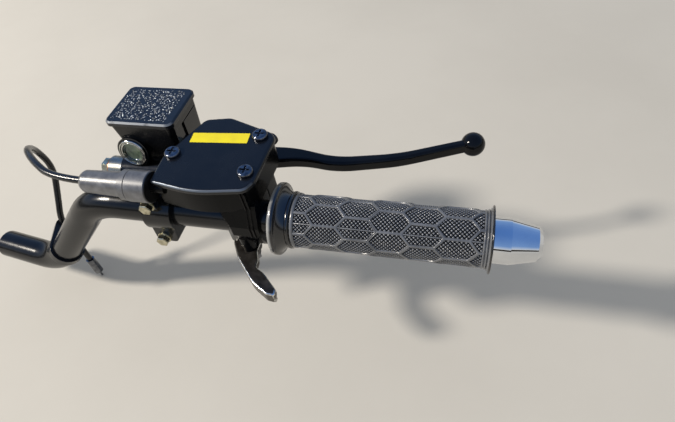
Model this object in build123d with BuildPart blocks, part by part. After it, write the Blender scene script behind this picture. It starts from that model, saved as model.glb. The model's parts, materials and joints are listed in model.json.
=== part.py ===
"""Right-hand end of a quad bike handlebar: bent tube, grip, thumb throttle and front brake master cylinder.

Millimetres, +Z up, +X outboard along the grip, +Y forwards. The origin is the middle of the tube's
inboard end. Most pieces are placed from the "hand" point, which is on the tube's axis at the grip's
inner flange.
"""

from build123d import *
from math import asin, cos, degrees, radians, sin, tan
import os

# Handlebar tube
bar_r = 11.1
bar_wall = 2.0
seat_length = 58
leg_run = 72
bar_rise = 80
sweep_back = 8
upper_bend_r = 44
lower_bend_r = 40
bend_inboard = 134
slip = 0.05

# Rubber grip, with a honeycomb of ribs that stand on its floor
grip_length = 129.5
grip_floor_r = 16.2
rib_r = 17.05
rib_width = 1.5
cells_round = 8
cell_tip = 12.25
cell_corner = 6.85

# Chrome weight in the bar's end
weight_r = 13.6
weight_tip_r = 10.2
weight_straight = 9.8
weight_taper = 14.8
weight_rounding = 2.2
weight_spigot_length = 22
weight_screw_r = 5.0

# Throttle housing, which leans a little about the tube
throttle_lean = 4
lid_t = 3.1
lid_overhang = 1.2
lid_round = 2.0
lid_top = 36.1
case_bottom = 15
case_left = -71.1
chamber_left = -56
chamber_near = 10
chamber_far = 29.5
chamber_bottom = -14
band_left = -34
band_right = -8.6
wall_rib_width = 0.9
neck_r = 3.4
neck_root = -64
neck_end = -80
cable_y = -9.4
cable_z = 28.8
lid_screw_r = 5.0
lid_screw_head = 2.9
lid_screw_shank_r = 2.0
lid_screw_length = 9
cross_width = 1.3
cross_depth = 1.6
limiter_r = 4.0
limiter_height = 25

# Thumb lever
thumb_x = -23.6
thumb_y = -7.3
thumb_boss_r = 4.9
thumb_top = -25
thumb_t = 5.5
thumb_pad_h = 9.5
thumb_pin_r = 3.0
thumb_pin_depth = 8
thumb_edge = 0.6
side_gap = 0.3

# Throttle cable and its rubber boot
boot_mouth = -72.7
boot_big_r = 10.1
boot_big_length = 14.4
boot_groove = 0.7
boot_ring_r = 9.8
boot_ring_length = 4.5
boot_small_r = 8.2
boot_tip_r = 7.2
boot_small_length = 29.9
cable_r = 2.4
cable_socket = 8
tie_at = 88
tie_width = 7
tie_t = 1.6
tie_cable_y = 15.2
tie_slack = 4
ferrule_r = 3.6
ferrule_length = 16

# Master cylinder
bore_y = 32
barrel_left = -122.5
barrel_right = -76
barrel_r = 12.0
tank_left = -122.3
tank_right = -72.9
tank_near = 29.2
tank_far = 69.9
tank_top = 45
tank_lid_t = 3.6
tank_overhang = 1.4
tank_bottom = 9
tank_taper = 9
tank_corner = 5.0
web_near = 8
seam_z = 35.5
seam_h = 0.8
seam_depth = 0.7
seam_near = 35
seam_far = 66
pocket_near = 34
pocket_far = 46
pocket_low = 24
pocket_depth = 1.2
glass_x = -108.5
glass_y = 27.0
glass_z = 21.5
glass_boss_r = 11.3
glass_ring_r = 9.7
glass_ring_t = 1.2
glass_r = 7.3
glass_tilt = 8
clamp_x = -78.5
clamp_width = 19.6
clamp_r = 14.6
clamp_split = 0.8
clamp_bolt_x = -81
clamp_bolt_top = 13.9
clamp_bolt_low = 17.6
clamp_bolt_r = 2.5
clamp_bolt_reach = 9.5
clamp_flange_r = 4.6
clamp_head_h = 5.4
clamp_head_edge = 0.5
clamp_lug_r = 4.2
clamp_lug_t = 10.8
low_lug_x = -79.5
low_lug_width = 16
banjo_r = 9.0
banjo_t = 11.0
banjo_bolt_r = 5.0
washer_t = 1.4
hose_end_r = 5.2
hose_end_length = 22

# Brake lever
pivot_x = -60
pivot_y = 50
hub_r = 8.5
hub_h = 11
fork_t = 4.0
ear_foot_x = -79
ear_foot_y = 40
ear_foot_width = 4
ear_foot_depth = 34
lever_h = 8.4
lever_edge_r = 2.2
lever_pin_r = 3.0
ball_r = 8.2
ball_x = 115
ball_y = 82.5
cam_half = 4.5
piston_r = 4.5
piston_tip = -68

# Where the hand point lies from the tube's inboard end
turn = radians(sweep_back)
seat_end = Vector(seat_length * cos(turn), -seat_length * sin(turn), 0)
hand = seat_end + Vector(leg_run + bend_inboard, 0, bar_rise)


def at(x, y, z):
    """A point given from the hand point."""
    return hand + Vector(x, y, z)


def level(z):
    """A level plane at height z over the tube's axis."""
    return Plane(origin=at(0, 0, z), x_dir=(1, 0, 0), z_dir=(0, 0, 1))


def across(x, y=0, z=0):
    """A plane square to the tube, with its own x forwards and its own y up."""
    return Plane(origin=at(x, y, z), x_dir=(0, 1, 0), z_dir=(1, 0, 0))


def upright(y, z=0):
    """A plane facing the rider, with its own x outboard and its own y up."""
    return Plane(origin=at(0, y, z), x_dir=(1, 0, 0), z_dir=(0, -1, 0))


def tilted(z):
    """A plane of the throttle housing, at height z square to its lid."""
    lean = radians(throttle_lean)
    return Plane(origin=hand, x_dir=(1, 0, 0), z_dir=(0, -sin(lean), cos(lean))).offset(z)


def tilted_across(x):
    """A plane square to the tube that leans with the throttle housing."""
    lean = radians(throttle_lean)
    return Plane(origin=at(x, 0, 0), x_dir=(0, cos(lean), sin(lean)), z_dir=(1, 0, 0))


def corners_of(table):
    """The points and the corner radii of an outline's table."""
    return [(x, y) for x, y, r in table], [r for x, y, r in table]


def span(low, high):
    """The middle and the length between two places."""
    return (low + high) / 2, high - low


bar_axis = Axis(hand, (1, 0, 0))
lid_axis = Axis(hand, tilted(0).z_dir)
cable_axis = Axis(at(0, cable_y, cable_z), (1, 0, 0))

# Handlebar tube
bar_corner = at(-bend_inboard, 0, 0)
bar_end_x = grip_length - 0.5
with BuildLine() as bar_path:
    FilletPolyline(
        (0, 0, 0), seat_end, bar_corner, at(bar_end_x, 0, 0), radius=[lower_bend_r, upper_bend_r]
    )
with BuildPart() as handlebar_tube:
    with BuildSketch(Plane(origin=(0, 0, 0), z_dir=seat_end)):
        Circle(bar_r)
        Circle(bar_r - bar_wall, mode=Mode.SUBTRACT)
    sweep(path=bar_path.line)
handlebar_tube.part.label = "handlebar_tube"

# Rubber grip: columns are along the tube and out from its axis, from the dished flange inboard to the
# ringed flare outboard
grip_outline = (
    (0.0, 22.2),
    (0.8, 23.0),
    (3.3, 23.0),
    (3.9, 22.3),
    (3.9, 21.4),
    (6.4, 18.7),
    (9.1, 17.2),
    (9.5, 18.0),
    (11.4, 18.0),
    (11.7, 16.6),
    (12.2, 16.6),
    (12.6, 17.4),
    (14.3, 17.4),
    (14.6, rib_r),
    (124.3, rib_r),
    (125.1, 17.3),
    (125.8, 16.8),
    (126.3, 17.6),
    (126.8, 17.1),
    (127.3, 18.0),
    (127.6, 17.5),
    (128.3, 18.9),
    (129.0, 20.1),
    (grip_length, 19.7),
)
pattern_left = 14.6
pattern_right = 124.3
# Honeycomb: columns are the places along the tube of the cells' middles, and how far round the first is
cell_rows = (((14.4, 52.6, 90.9, 129.1), 43.1), ((33.5, 71.8, 110.0), 20.6))
cell_half = rib_r * sin(radians(180 / cells_round)) - rib_width / 2
cell_outline = (
    (cell_tip - rib_width * 0.7, 0),
    (cell_corner - rib_width * 0.25, cell_half),
    (-cell_corner + rib_width * 0.25, cell_half),
    (-cell_tip + rib_width * 0.7, 0),
    (-cell_corner + rib_width * 0.25, -cell_half),
    (cell_corner - rib_width * 0.25, -cell_half),
)
cell_planes = []
for cell_places, first_turn in cell_rows:
    for cell_x in cell_places:
        for step in range(cells_round):
            way = radians(first_turn + 360 / cells_round * step)
            cell_planes.append(Plane(origin=at(cell_x, 0, 0), x_dir=(1, 0, 0), z_dir=(0, -cos(way), sin(way))))

with BuildPart() as grip:
    with BuildSketch(upright(0)):
        with BuildLine():
            Polyline((0, bar_r + slip), *grip_outline, (grip_length, bar_r + slip), close=True)
        make_face()
    revolve(axis=bar_axis)
with BuildPart(mode=Mode.PRIVATE) as pockets:
    with BuildSketch(*[plane.offset(bar_r) for plane in cell_planes]):
        with BuildLine():
            Polyline(*cell_outline, close=True)
        make_face()
    extrude(amount=rib_r)
    with BuildSketch(across(pattern_left)):
        Circle(rib_r + 1)
        Circle(grip_floor_r, mode=Mode.SUBTRACT)
    extrude(amount=pattern_right - pattern_left, mode=Mode.INTERSECT)
grip.part = grip.part - pockets.part
grip.part.label = "grip"

# Chrome weight, plugged into the tube
weight_x = grip_length + slip
weight_face = weight_x + weight_straight + weight_taper
weight_recess = weight_face - 2.5
spigot_r = bar_r - bar_wall - slip
with BuildPart() as bar_end_weight:
    with BuildSketch(upright(0)):
        with BuildLine():
            Polyline(
                (weight_x - weight_spigot_length, 0),
                (weight_x - weight_spigot_length, spigot_r),
                (weight_x, spigot_r),
                (weight_x, weight_r - 0.5),
                (weight_x + 0.5, weight_r),
                (weight_x + weight_straight, weight_r),
                (weight_face, weight_tip_r),
                (weight_face + weight_rounding, weight_tip_r - weight_rounding),
                (weight_face + weight_rounding, weight_screw_r + 0.6),
                (weight_recess, weight_screw_r + 0.6),
                (weight_recess, 0),
                close=True,
            )
        make_face()
    revolve(axis=bar_axis)
bar_end_weight.part.label = "bar_end_weight"

with BuildPart() as bar_end_screw:
    with BuildSketch(across(weight_recess)):
        Circle(weight_screw_r)
    extrude(amount=4)
    with BuildSketch(across(weight_recess + 4)):
        RegularPolygon(radius=2.9, side_count=6)
    extrude(amount=-2.4, mode=Mode.SUBTRACT)
bar_end_screw.part.label = "bar_end_screw"

# Throttle housing: columns are outboard, forwards and the corner's radius
lid_corners = (
    (-72.3, -8.5, 3),
    (-42, -13.6, 70),
    (-11, -9.0, 7),
    (-7.0, -2, 6),
    (-4.6, 38.5, 8),
    (-39.5, 51.0, 9),
    (-56.5, 48.0, 6),
    (-72.3, 13.5, 14),
)
lid_points, lid_radii = corners_of(lid_corners)
with BuildSketch() as lid_outline:
    with BuildLine():
        FilletPolyline(*lid_points, radius=lid_radii, close=True)
    make_face()
with BuildSketch() as case_outline:
    add(lid_outline.sketch)
    offset(amount=-lid_overhang)

# The block that holds the tube, seen along the tube: columns are forwards and up, leaning with the lid
block_section = ((-8, 20), (-13.4, 4), (-13.4, -4.5), (-8.5, -18), (12, -18), (12, 20))
# What is cut off the block's near left corner: columns are outboard and forwards
block_cut = ((-35, -7), (-35, -17), (-23, -17))
# Two upright ribs on the near wall, seen along the tube
wall_rib_places = (-14.6, -12.0)
wall_rib_section = ((-6, 32), (-9.3, 32), (-9.3, 17), (-14.1, 4.3), (-14.1, -4.5), (-12, -5))

lid_screw_places = ((-14.5, 35.0), (-14.2, 4.5), (-66.0, 15.0))
case_top = lid_top - lid_t
with BuildPart() as throttle_housing:
    with BuildSketch(tilted(case_bottom)):
        add(case_outline.sketch)
    extrude(amount=case_top - case_bottom)
    with BuildSketch(tilted(chamber_bottom)):
        chamber_x, chamber_width = span(chamber_left, band_right)
        chamber_y, chamber_depth = span(chamber_near, chamber_far)
        with Locations((chamber_x, chamber_y)):
            RectangleRounded(chamber_width, chamber_depth, 4)
    extrude(amount=case_bottom - chamber_bottom)
    with BuildSketch(tilted_across(band_left)):
        with BuildLine():
            Polyline(*block_section, close=True)
        make_face()
    extrude(amount=band_right - band_left)
    with BuildSketch(tilted(case_bottom)):
        with BuildLine():
            Polyline(*block_cut, close=True)
        make_face()
    extrude(amount=-3 * case_bottom, mode=Mode.SUBTRACT)
    for rib_x in wall_rib_places:
        with BuildSketch(tilted_across(rib_x - wall_rib_width / 2)):
            with BuildLine():
                Polyline(*wall_rib_section, close=True)
            make_face()
        extrude(amount=wall_rib_width)
    with BuildSketch(across(neck_root, cable_y, cable_z)):
        Circle(neck_r)
    extrude(amount=neck_end - neck_root)
    with BuildSketch(tilted(thumb_top + side_gap)):
        with Locations((thumb_x, thumb_y)):
            Circle(thumb_boss_r)
    extrude(amount=-thumb_top - side_gap - bar_r)
    with BuildSketch(across(case_left - 1)):
        Circle(bar_r + slip)
    extrude(amount=1 - case_left, mode=Mode.SUBTRACT)
    with BuildSketch(tilted(thumb_top)):
        with Locations((thumb_x, thumb_y)):
            Circle(thumb_pin_r + slip)
    extrude(amount=thumb_pin_depth + slip, mode=Mode.SUBTRACT)
    with BuildSketch(tilted(case_top)):
        with Locations(*lid_screw_places):
            Circle(lid_screw_shank_r + slip)
    extrude(amount=-lid_screw_length, mode=Mode.SUBTRACT)
throttle_housing.part.label = "throttle_housing"

with BuildPart() as throttle_lid:
    with BuildSketch(tilted(case_top)):
        add(lid_outline.sketch)
        with Locations(*lid_screw_places):
            Circle(lid_screw_shank_r + slip, mode=Mode.SUBTRACT)
    extrude(amount=lid_t)
    fillet(throttle_lid.faces().sort_by(lid_axis)[-1].outer_wire().edges(), lid_round)
throttle_lid.part.label = "throttle_lid"

with BuildPart() as throttle_lid_screws:
    with BuildSketch(tilted(lid_top)):
        with Locations(*lid_screw_places):
            Circle(lid_screw_r)
    extrude(amount=lid_screw_head)
    fillet(throttle_lid_screws.faces().group_by(lid_axis)[-1].edges(), 1.6)
    with BuildSketch(tilted(lid_top)):
        with Locations(*lid_screw_places):
            Circle(lid_screw_shank_r)
    extrude(amount=slip - lid_screw_length)
    with BuildSketch(tilted(lid_top + lid_screw_head)):
        with Locations(*lid_screw_places):
            Rectangle(1.2 * lid_screw_r, cross_width)
            Rectangle(cross_width, 1.2 * lid_screw_r)
    extrude(amount=-cross_depth, mode=Mode.SUBTRACT)
throttle_lid_screws.part.label = "throttle_lid_screws"

# Speed limiter screw, square to the housing's slanting front wall
front_out = (lid_corners[4][0], lid_corners[4][1])
front_in = (lid_corners[5][0], lid_corners[5][1])
front_wall = (Vector(*front_out) - Vector(*front_in)).normalized()
front_normal = Vector(-front_wall.Y, front_wall.X)
limiter_foot = Vector(*front_out) - front_wall * 9 - front_normal * (lid_overhang + 2)
limiter_seat = Plane(origin=limiter_foot, x_dir=(0, 0, 1), z_dir=front_normal)
limiter_plane = Plane(tilted(limiter_height).location * limiter_seat.location)
limiter_axis = Axis(limiter_plane.origin, limiter_plane.z_dir)
with BuildPart() as limiter_screw:
    with BuildSketch(limiter_plane):
        Circle(limiter_r)
    extrude(amount=8.5)
    fillet(limiter_screw.faces().sort_by(limiter_axis)[-1].edges(), 1.5)
limiter_screw.part.label = "limiter_screw"
with BuildPart(mode=Mode.PRIVATE) as limiter_hole:
    with BuildSketch(limiter_plane):
        Circle(limiter_r + slip)
    extrude(amount=20)
throttle_housing.part = throttle_housing.part - limiter_hole.part
throttle_housing.part.label = "throttle_housing"

# Thumb lever: columns are outboard, forwards and the corner's radius
thumb_corners = (
    (-36.0, 3.0, 3),
    (-37.2, -4.0, 10),
    (-29.5, -17.0, 30),
    (-14.0, -33.8, 25),
    (-2.6, -40.8, 4),
    (3.4, -41.2, 1.5),
    (3.2, -36.6, 3),
    (-8.6, -25.4, 14),
    (-14.8, -22.4, 2.5),
    (-14.8, -17.0, 3),
    (-17.6, -10.0, 5),
    (-17.2, 0.5, 5),
)
pad_corners = (
    (-28.4, -18.3, 1),
    (-14.0, -33.8, 25),
    (-2.6, -40.8, 4),
    (3.4, -41.2, 1.2),
    (2.8, -37.6, 0.8),
    (-2.0, -36.9, 4),
    (-12.4, -30.6, 22),
    (-26.0, -16.0, 1),
)
thumb_points, thumb_radii = corners_of(thumb_corners)
pad_points, pad_radii = corners_of(pad_corners)
with BuildPart() as thumb_lever:
    with BuildSketch(tilted(thumb_top - thumb_t)):
        with BuildLine():
            FilletPolyline(*thumb_points, radius=thumb_radii, close=True)
        make_face()
    extrude(amount=thumb_t)
    with BuildSketch(tilted(thumb_top - thumb_pad_h)):
        with BuildLine():
            FilletPolyline(*pad_points, radius=pad_radii, close=True)
        make_face()
    extrude(amount=thumb_pad_h)
    with BuildSketch(tilted(thumb_top)):
        with Locations((thumb_x, thumb_y)):
            Circle(thumb_pin_r + slip)
    extrude(amount=-thumb_t, mode=Mode.SUBTRACT)
    chamfer(thumb_lever.faces().sort_by(lid_axis)[-1].outer_wire().edges(), thumb_edge)
thumb_lever.part.label = "thumb_lever"

thumb_bolt_head = thumb_top - thumb_t - side_gap
with BuildPart() as thumb_lever_bolt:
    with BuildSketch(tilted(thumb_bolt_head)):
        with Locations((thumb_x, thumb_y)):
            Circle(thumb_pin_r)
    extrude(amount=thumb_top + thumb_pin_depth - thumb_bolt_head)
    with BuildSketch(tilted(thumb_bolt_head)):
        with Locations((thumb_x, thumb_y)):
            Circle(thumb_pin_r + 3)
    extrude(amount=-1.2)
    with BuildSketch(tilted(thumb_bolt_head - 1.2)):
        with Locations((thumb_x, thumb_y)):
            RegularPolygon(radius=5.7, side_count=6)
    extrude(amount=-4)
thumb_lever_bolt.part.label = "thumb_lever_bolt"

# Rubber boot on the housing's cable neck, drawn from its mouth inwards
ring_x = boot_mouth - boot_big_length
small_x = ring_x - boot_ring_length
boot_end = small_x - boot_small_length
with BuildPart() as throttle_boot:
    with BuildSketch(upright(cable_y, cable_z)):
        with BuildLine():
            Polyline(
                (neck_end - slip, 0),
                (neck_end - slip, neck_r + slip),
                (boot_mouth, neck_r + slip),
                (boot_mouth, boot_big_r - 0.6),
                (boot_mouth - 0.6, boot_big_r),
                (ring_x + boot_groove, boot_big_r),
                (ring_x + boot_groove, boot_ring_r - boot_groove),
                (ring_x, boot_ring_r - boot_groove),
                (ring_x, boot_ring_r),
                (small_x + 0.5, boot_ring_r),
                (small_x, boot_small_r),
                (boot_end + 3.0, boot_tip_r),
                (boot_end + 0.9, boot_tip_r - 1.3),
                (boot_end, boot_tip_r - 3.4),
                (boot_end, cable_r + slip),
                (boot_end + cable_socket, cable_r + slip),
                (boot_end + cable_socket, 0),
                close=True,
            )
        make_face()
    revolve(axis=cable_axis)
throttle_boot.part.label = "throttle_boot"

# Throttle cable: points from the hand point, then points from the tube's upper corner
loop_points = (
    (boot_end + cable_socket - slip, cable_y, cable_z),
    (-144.6, cable_y, cable_z),
    (-166, 2, 31),
    (-186, 18, 26.5),
    (-198, 33, 12),
)
leg_points = (
    (-63, 36.5, -10),
    (-65, 26, -32),
    (-67, tie_cable_y + 0.6, -52),
    (-65, tie_cable_y, -76),
    (-63, tie_cable_y - 1, -98),
)


def bend_radii(points):
    """The largest tidy radius at each corner of a route: 0.45 of the shorter run."""
    radii = []
    for before, here, after in zip(points, points[1:], points[2:]):
        turn_angle = (here - before).get_angle(after - here)
        shorter = min((here - before).length, (after - here).length)
        radii.append(0.45 * shorter / tan(radians(turn_angle / 2)))
    return radii


cable_route = [at(*point) for point in loop_points] + [bar_corner + point for point in leg_points]
cable_radii = bend_radii(cable_route)
print("cable radii", [round(r, 1) for r in cable_radii])
with BuildLine() as cable_path:
    FilletPolyline(*cable_route, radius=cable_radii)
with BuildPart() as throttle_cable:
    with BuildSketch(Plane(origin=cable_route[0], z_dir=cable_route[1] - cable_route[0])):
        Circle(cable_r)
    sweep(path=cable_path.line)
throttle_cable.part.label = "throttle_cable"

cable_end = Plane(origin=cable_route[-1], z_dir=cable_route[-1] - cable_route[-2])
with BuildPart() as cable_ferrule:
    with BuildSketch(cable_end):
        Circle(ferrule_r)
    extrude(amount=ferrule_length)
    with BuildSketch(cable_end.offset(ferrule_length)):
        Circle(0.8)
    extrude(amount=6)
cable_ferrule.part.label = "cable_ferrule"

# Tie that holds the cable against the tube's leg
leg_way = (seat_end - bar_corner).normalized()
tie_plane = Plane(origin=bar_corner + leg_way * (tie_at - tie_width / 2), x_dir=(0, 1, 0), z_dir=leg_way)
tie_from, tie_to = cable_route[-3], cable_route[-2]
tie_share = (tie_at - (tie_from - bar_corner).dot(leg_way)) / (tie_to - tie_from).dot(leg_way)
tie_cross = tie_plane.to_local_coords(tie_from + (tie_to - tie_from) * tie_share)
with BuildPart() as cable_tie:
    with BuildSketch(tie_plane):
        Circle(bar_r + slip + tie_t)
        with Locations((tie_cross.X, tie_cross.Y - tie_slack), (tie_cross.X, tie_cross.Y + tie_slack)):
            Circle(cable_r + slip + tie_t)
        make_hull()
        Circle(bar_r + slip, mode=Mode.SUBTRACT)
    extrude(amount=tie_width)
cable_tie.part = cable_tie.part - throttle_cable.part
cable_tie.part.label = "cable_tie"

# Master cylinder
shell_top = tank_top - tank_lid_t
tank_x, tank_width = span(tank_left, tank_right)
tank_y, tank_depth = span(tank_near, tank_far)
foot_x, foot_width = span(tank_left + tank_overhang + tank_taper, tank_right - tank_overhang)
foot_y, foot_depth = span(tank_near + tank_overhang, tank_far - tank_overhang - 3)
glass_lean = radians(glass_tilt)
glass_plane = Plane(
    origin=at(glass_x, glass_y, glass_z), x_dir=(1, 0, 0), z_dir=(0, -cos(glass_lean), sin(glass_lean))
)
clamp_left = clamp_x - clamp_width / 2
clamp_bolt_places = ((clamp_bolt_x, clamp_bolt_top), (clamp_bolt_x, -clamp_bolt_low))
low_lug = clamp_bolt_low + clamp_lug_r
fork_gap = hub_h / 2 + side_gap
with BuildSketch() as clamp_lugs:
    with Locations((clamp_bolt_x, clamp_bolt_top / 2)):
        Rectangle(2 * clamp_lug_r, clamp_bolt_top)
    with Locations(clamp_bolt_places[0]):
        Circle(clamp_lug_r)
    with Locations((low_lug_x, -low_lug / 2)):
        RectangleRounded(low_lug_width, low_lug, clamp_lug_r - 0.5)
with BuildPart() as master_cylinder:
    with BuildSketch(level(shell_top)):
        with Locations((tank_x, tank_y)):
            RectangleRounded(
                tank_width - 2 * tank_overhang, tank_depth - 2 * tank_overhang, tank_corner - 1
            )
    with BuildSketch(level(tank_bottom)):
        with Locations((foot_x, foot_y)):
            RectangleRounded(foot_width, foot_depth, tank_corner - 1)
    loft()
    with BuildSketch(across(barrel_left, bore_y)):
        Circle(barrel_r)
    extrude(amount=barrel_right - barrel_left)
    with BuildSketch(across(tank_left + tank_overhang + tank_taper + 2)):
        with BuildLine():
            Polyline(
                (bore_y - 10, 6), (tank_near + 3, tank_bottom + 4), (tank_far - 8, tank_bottom + 4),
                (tank_far - 14, tank_bottom - 3), (bore_y + 9, -7), (bore_y - 10, -6), close=True,
            )
        make_face()
    extrude(amount=barrel_right - tank_left - tank_overhang - tank_taper - 2)
    with BuildSketch(glass_plane):
        Circle(glass_boss_r)
    extrude(amount=-8)
    with BuildSketch(across(clamp_left)):
        web_y, web_depth = span(web_near, bore_y)
        with Locations((web_y, 0)):
            Rectangle(web_depth, 2 * barrel_r - 2)
    extrude(amount=barrel_right - clamp_left)
    with BuildSketch(across(clamp_left)):
        Circle(clamp_r)
        with Locations((-clamp_r, 0)):
            Rectangle(2 * clamp_r + clamp_split, 4 * clamp_r, mode=Mode.SUBTRACT)
    extrude(amount=clamp_width)
    with BuildSketch(upright(clamp_split / 2)):
        add(clamp_lugs.sketch)
    extrude(amount=-clamp_lug_t)
    with BuildSketch(across(clamp_left)):
        Circle(bar_r + slip)
    extrude(amount=clamp_width, mode=Mode.SUBTRACT)
    for ear_foot, ear_rise in ((fork_gap, fork_t), (-fork_gap, -fork_t)):
        with BuildSketch(level(ear_foot)):
            with Locations((pivot_x, pivot_y)):
                Circle(hub_r)
            with Locations((ear_foot_x, ear_foot_y)):
                Rectangle(ear_foot_width, ear_foot_depth)
            make_hull()
        extrude(amount=ear_rise)
    with BuildSketch(across(barrel_right, bore_y)):
        Circle(piston_r + slip)
    extrude(amount=-20, mode=Mode.SUBTRACT)
    with BuildSketch(across(barrel_left, bore_y)):
        Circle(banjo_bolt_r + slip)
    extrude(amount=10, mode=Mode.SUBTRACT)
    with BuildSketch(glass_plane):
        Circle(glass_r)
    extrude(amount=-2.5, mode=Mode.SUBTRACT)
    with BuildSketch(level(fork_gap + fork_t)):
        with Locations((pivot_x, pivot_y)):
            Circle(lever_pin_r + slip)
    extrude(amount=-2 * (fork_gap + fork_t), mode=Mode.SUBTRACT)
    with BuildSketch(upright(0)):
        with Locations(*clamp_bolt_places):
            Circle(clamp_bolt_r + slip)
    extrude(amount=-clamp_bolt_reach, mode=Mode.SUBTRACT)
    with BuildSketch(across(tank_right - tank_overhang)):
        seam_y, seam_length = span(seam_near, seam_far)
        with Locations((seam_y, seam_z)):
            Rectangle(seam_length, seam_h)
    extrude(amount=-seam_depth, mode=Mode.SUBTRACT)
    with BuildSketch(across(tank_right - tank_overhang)):
        pocket_y, pocket_length = span(pocket_near, pocket_far)
        pocket_z, pocket_h = span(pocket_low, seam_z)
        with Locations((pocket_y, pocket_z)):
            Rectangle(pocket_length, pocket_h)
    extrude(amount=-pocket_depth, mode=Mode.SUBTRACT)
master_cylinder.part.label = "master_cylinder"

with BuildPart() as clamp_cap:
    with BuildSketch(across(clamp_left)):
        Circle(clamp_r)
        with Locations((clamp_r, 0)):
            Rectangle(2 * clamp_r + clamp_split, 4 * clamp_r, mode=Mode.SUBTRACT)
    extrude(amount=clamp_width)
    with BuildSketch(upright(-clamp_split / 2)):
        add(clamp_lugs.sketch)
    extrude(amount=clamp_lug_t)
    with BuildSketch(across(clamp_left)):
        Circle(bar_r + slip)
    extrude(amount=clamp_width, mode=Mode.SUBTRACT)
    with BuildSketch(upright(0)):
        with Locations(*clamp_bolt_places):
            Circle(clamp_bolt_r + slip)
    extrude(amount=clamp_r, mode=Mode.SUBTRACT)
clamp_cap.part.label = "clamp_cap"

cap_face = -clamp_split / 2 - clamp_lug_t
with BuildPart() as clamp_bolts:
    with BuildSketch(upright(cap_face)):
        with Locations(*clamp_bolt_places):
            Circle(clamp_bolt_r)
    extrude(amount=cap_face - clamp_bolt_reach + slip)
    with BuildSketch(upright(cap_face)):
        with Locations(*clamp_bolt_places):
            Circle(clamp_flange_r)
    extrude(amount=1.3)
    with BuildSketch(upright(cap_face)):
        with Locations(*clamp_bolt_places):
            RegularPolygon(radius=clamp_flange_r - 0.3, side_count=6)
    extrude(amount=clamp_head_h)
    chamfer(clamp_bolts.faces().group_by(Axis.Y)[0].edges(), clamp_head_edge)
clamp_bolts.part.label = "clamp_bolts"

with BuildPart() as tank_lid:
    with BuildSketch(level(shell_top)):
        with Locations((tank_x, tank_y)):
            RectangleRounded(tank_width, tank_depth, tank_corner)
    extrude(amount=tank_lid_t)
    chamfer(tank_lid.faces().sort_by(Axis.Z)[-1].outer_wire().edges(), 1.1)
tank_lid.part.label = "tank_lid"

with BuildPart() as sight_glass_ring:
    with BuildSketch(glass_plane):
        Circle(glass_ring_r)
        Circle(glass_r, mode=Mode.SUBTRACT)
    extrude(amount=glass_ring_t)
sight_glass_ring.part.label = "sight_glass_ring"

with BuildPart() as sight_glass:
    with BuildSketch(glass_plane.offset(-2.5)):
        Circle(glass_r - slip)
    extrude(amount=2.2)
sight_glass.part.label = "sight_glass"

# Banjo fitting at the cylinder's inboard end, with a washer on each side of its eye
eye_right = barrel_left - washer_t
eye_left = eye_right - banjo_t
head_right = eye_left - washer_t
with BuildPart() as banjo_fitting:
    with BuildSketch(across(eye_left, bore_y)):
        Circle(banjo_r)
    extrude(amount=banjo_t)
    with BuildSketch(Plane(origin=at((eye_left + eye_right) / 2, bore_y, 0), z_dir=(0, 0, -1))):
        Circle(hose_end_r)
    extrude(amount=banjo_r + hose_end_length)
    with BuildSketch(Plane(origin=at((eye_left + eye_right) / 2, bore_y, -banjo_r - 4), z_dir=(0, 0, -1))):
        Circle(hose_end_r + 1)
    extrude(amount=hose_end_length - 4)
    with BuildSketch(across(eye_left, bore_y)):
        Circle(banjo_bolt_r + slip)
    extrude(amount=banjo_t, mode=Mode.SUBTRACT)
banjo_fitting.part.label = "banjo_fitting"

with BuildPart() as banjo_washers:
    for washer_x in (head_right, eye_right):
        with BuildSketch(across(washer_x, bore_y)):
            Circle(banjo_r - 1)
            Circle(banjo_bolt_r + slip, mode=Mode.SUBTRACT)
        extrude(amount=washer_t)
banjo_washers.part.label = "banjo_washers"

with BuildPart() as banjo_bolt:
    with BuildSketch(across(head_right, bore_y)):
        Circle(banjo_bolt_r)
    extrude(amount=barrel_left + 10 - slip - head_right)
    with BuildSketch(across(head_right, bore_y)):
        RegularPolygon(radius=6.9, side_count=6)
    extrude(amount=-5.8)
banjo_bolt.part.label = "banjo_bolt"

# Brake lever: columns are outboard, forwards and the corner's radius
lever_corners = (
    (-62, 57.5, 1),
    (-40, 61.8, 40),
    (-6, 63.6, 80),
    (25, 56.6, 60),
    (66, 64.6, 120),
    (110, 83.6, 0.8),
    (112, 77.5, 0.8),
    (68, 57.8, 120),
    (27, 47.9, 60),
    (2, 51.6, 60),
    (-22, 46.6, 40),
    (-62, 43.5, 1),
)
lever_points, lever_radii = corners_of(lever_corners)
with BuildPart() as brake_lever:
    with BuildSketch(level(-lever_h / 2)):
        with BuildLine():
            FilletPolyline(*lever_points, radius=lever_radii, close=True)
        make_face()
    extrude(amount=lever_h)
    rims = brake_lever.faces().group_by(Axis.Z)
    fillet(rims[0].edges() + rims[-1].edges(), lever_edge_r)
    with BuildSketch(level(-hub_h / 2)):
        with Locations((pivot_x, pivot_y)):
            Circle(hub_r)
    extrude(amount=hub_h)
    with BuildSketch(level(-cam_half)):
        cam_x, cam_width = span(piston_tip + side_gap, pivot_x)
        cam_y, cam_depth = span(bore_y - cam_half, pivot_y)
        with Locations((cam_x, cam_y)):
            Rectangle(cam_width, cam_depth)
    extrude(amount=2 * cam_half)
    with Locations(at(ball_x, ball_y, 0)):
        Sphere(ball_r)
    with BuildSketch(level(hub_h)):
        with Locations((pivot_x, pivot_y)):
            Circle(lever_pin_r + slip)
    extrude(amount=-2 * hub_h, mode=Mode.SUBTRACT)
brake_lever.part.label = "brake_lever"

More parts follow.
